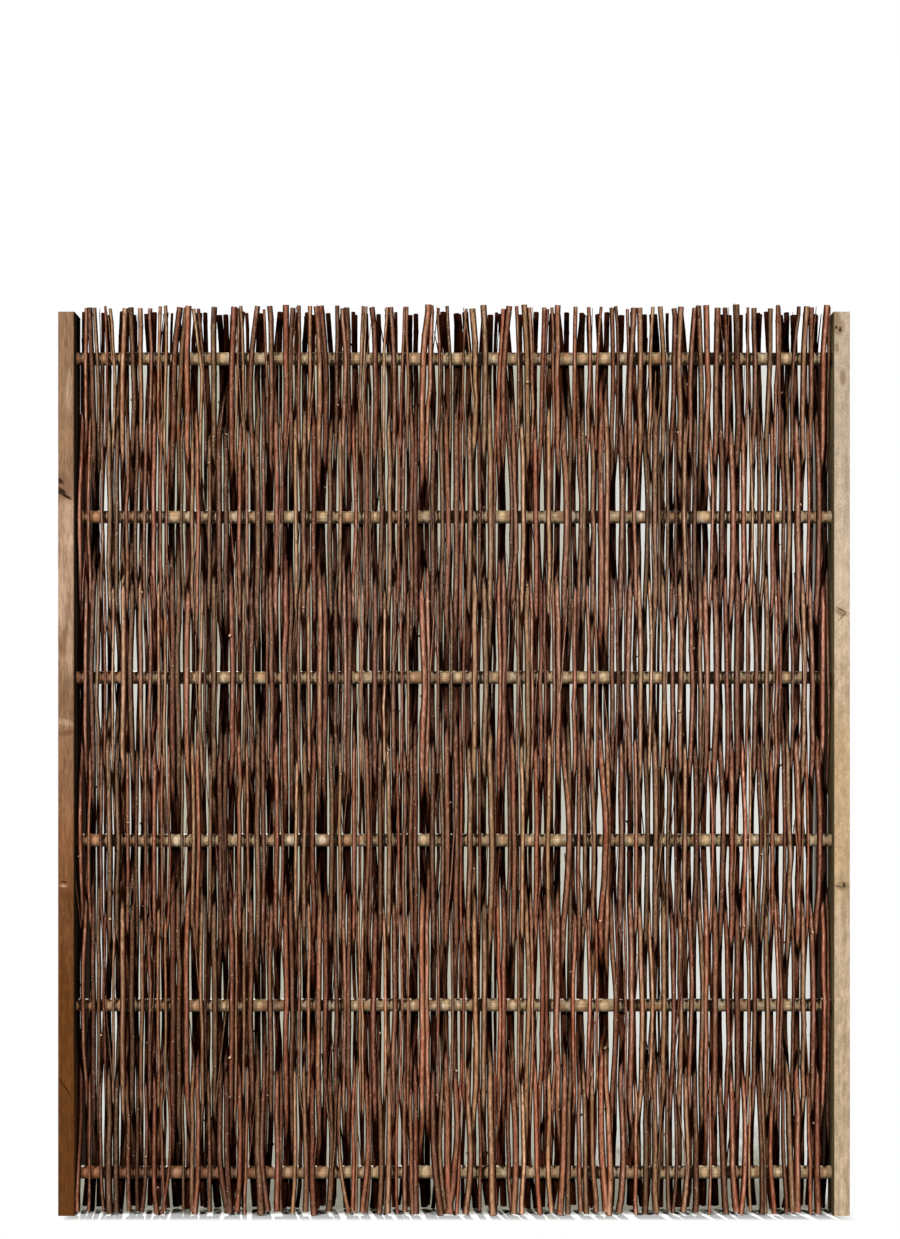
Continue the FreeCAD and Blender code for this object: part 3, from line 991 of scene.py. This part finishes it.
def studio_floor():
    """Pale floor, lifted to white for the camera; near the feet it keeps the panel's shadow, and among and behind
    the feet it carries painted shade.
    """
    c = colours()
    f = Finish("studio_floor_finish")
    x, y, _ = f.axes()
    before = (0 - y).step(0.03, 0.052)
    behind = y.step(0.19, 0.32)
    left_side = (0 - x * (1 - 0.25 * y)).step(0.582, 0.598)
    right_side = x.step(0.57, 0.61)
    far = before.most(behind).most(left_side.most(right_side))
    # Painted shade on the floor among and behind the feet
    shade_behind_feet = y.step(-0.022, 0.008)
    tone = f.mix(shade_behind_feet, c.floor, c.floor_foot)
    tone = f.mix(f.seen(), c.floor_shade, tone)
    plain = f.node("ShaderNodeBsdfDiffuse", None, {"Color": tone})
    white = f.node("ShaderNodeEmission", None, {"Color": (1, 1, 1, 1), "Strength": 1.0})
    shown = f.node("ShaderNodeMixShader", None, {0: f.seen() * far, 1: plain, 2: white})
    f.node("ShaderNodeOutputMaterial", None, {"Surface": shown})
    return f.made


def studio_shade_sheet():
    """Soft grey shade behind the weave, deepest left of the middle, at the ground and beside the battens."""
    c = colours()
    f = Finish("studio_backdrop_finish")
    x, _, z = f.axes()
    shade = 0.4 + 0.42 * x.step(-0.54, -0.42) * (1 - x.step(0.1, 0.3))
    mottle = f.clouds(f.place(), 70, 3).step(0.3, 0.7)
    ground = (1 - z.step(0.06, 0.2)) * (1 - x.step(0.5, 0.56)) * (0.6 + mottle * 0.4)
    beside = x.size().step(0.537, 0.56)
    depth = shade.most(ground.most(beside))
    tone = f.mix(ground * 0.75, c.backdrop, c.backdrop_foot)
    tone = f.mix(beside, tone, c.backdrop_edge)
    front = 1 - f.node("ShaderNodeNewGeometry", output="Backfacing")
    clear = f.node("ShaderNodeBsdfTransparent")
    grey = f.node("ShaderNodeEmission", None, {"Color": tone, "Strength": 1.0})
    shown = f.node("ShaderNodeMixShader", None, {0: depth * front * f.seen(), 1: clear, 2: grey})
    f.node("ShaderNodeOutputMaterial", None, {"Surface": shown})
    return f.made


def white_world():
    """White to the camera and dim to everything else."""
    world = bpy.data.worlds.new("white_world")
    f = Finish(world.name, world)
    dim = f.node("ShaderNodeBackground", None, {"Strength": 0.002})
    white = f.node("ShaderNodeBackground", None, {"Color": (1, 1, 1, 1), "Strength": 1.0})
    shown = f.node("ShaderNodeMixShader", None, {0: f.seen(), 1: dim, 2: white})
    f.node("ShaderNodeOutputWorld", None, {"Surface": shown})
    bpy.context.scene.world = world


def soft_box(name, place, aim, side, power):
    """Square soft light that faces a point."""
    start_piece()
    bpy.ops.object.light_add(type="AREA", location=place)
    lamp = bpy.context.object
    lamp.name = name
    lamp.data.size = side
    lamp.data.energy = power
    lamp.rotation_euler = (Vector(aim) - Vector(place)).to_track_quat("-Z", "Y").to_euler()


def photo_camera():
    """Level camera at the photograph's distance, framed by shift."""
    image_width, image_height = 900, 1239
    panel_pixels = 794
    horizon_row = 740
    middle_column = 454
    s = sizes()
    front = CAD_BOX[0].y
    front_distance = s.camera_distance + front
    panel_width = CAD_BOX[1].x - CAD_BOX[0].x
    start_piece()
    bpy.ops.object.camera_add(location=(0, -s.camera_distance, s.camera_height), rotation=(math.pi / 2, 0, 0))
    camera = bpy.context.object
    lens_pixels = panel_pixels * front_distance / panel_width
    camera.data.lens = camera.data.sensor_width * lens_pixels / image_height
    camera.data.shift_y = (horizon_row - image_height / 2) / image_height
    camera.data.shift_x = (image_width / 2 - middle_column) / image_height
    bpy.context.scene.camera = camera


class WILLOW_OT_stage(bpy.types.Operator):
    """Pale floor, a sheet of painted shade behind the rods, soft lights and the camera"""

    bl_idname = "willow.stage"
    bl_label = "Studio"

    def execute(self, context):
        start_piece()
        bpy.ops.mesh.primitive_plane_add(size=14)
        floor = context.object
        floor.name = "studio_floor"
        floor.data.materials.append(material(studio_floor))
        self.hang_shade_sheet(context)
        white_world()
        aim = (0, 0, 0.7)
        soft_box("left_soft_box", (-3.8, -4.5, 2.6), aim, side=0.8, power=400)
        soft_box("right_soft_box", (3.8, -4.5, 2.6), aim, side=0.8, power=316)
        soft_box("rear_soft_box", (-0.9, 4.0, 2.6), (0, 0, 0), side=0.15, power=440)
        photo_camera()
        context.scene.view_settings.view_transform = "Standard"
        return {"FINISHED"}

    def hang_shade_sheet(self, context):
        """Sheet of painted shade between the battens and the outer rails, close behind the rods."""
        half_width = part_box("right_batten")[0].x
        low, high = RAIL_HEIGHTS[0] - 5 * MM, RAIL_HEIGHTS[-1]
        start_piece()
        place = (0, sizes().shade_sheet_gap, (low + high) / 2)
        bpy.ops.mesh.primitive_plane_add(size=2, location=place, rotation=(math.pi / 2, 0, 0))
        sheet = context.object
        sheet.scale = (half_width, (high - low) / 2, 1)
        bpy.ops.object.transform_apply(location=True, rotation=True, scale=True)
        sheet.name = "studio_shade_sheet"
        sheet.data.materials.append(material(studio_shade_sheet))


class WILLOW_PT_panel(bpy.types.Panel):
    """Steps that dress the panel, in order"""

    bl_idname = "WILLOW_PT_panel"
    bl_label = "Willow Panel"
    bl_space_type = "VIEW_3D"
    bl_region_type = "UI"
    bl_category = "Willow"

    def draw(self, context):
        for step in STEPS:
            self.layout.operator(step.bl_idname)
        for group in (sizes(), colours()):
            for name in group.bl_rna.properties.keys():
                if name not in ("name", "rna_type"):
                    self.layout.prop(group, name)


STEPS = (WILLOW_OT_rods, WILLOW_OT_rails, WILLOW_OT_battens, WILLOW_OT_nails, WILLOW_OT_stage)
CLASSES = (WillowSizes, WillowColours, *STEPS, WILLOW_PT_panel)


def register():
    for item in CLASSES:
        bpy.utils.register_class(item)
    bpy.types.Scene.willow_sizes = bpy.props.PointerProperty(type=WillowSizes)
    bpy.types.Scene.willow_colours = bpy.props.PointerProperty(type=WillowColours)


def unregister():
    del bpy.types.Scene.willow_colours
    del bpy.types.Scene.willow_sizes
    for item in reversed(CLASSES):
        bpy.utils.unregister_class(item)


def main():
    register()
    bpy.ops.willow.rods()
    bpy.ops.willow.rails()
    bpy.ops.willow.battens()
    bpy.ops.willow.nails()
    bpy.ops.willow.stage()


if __name__ == "__main__":
    main()
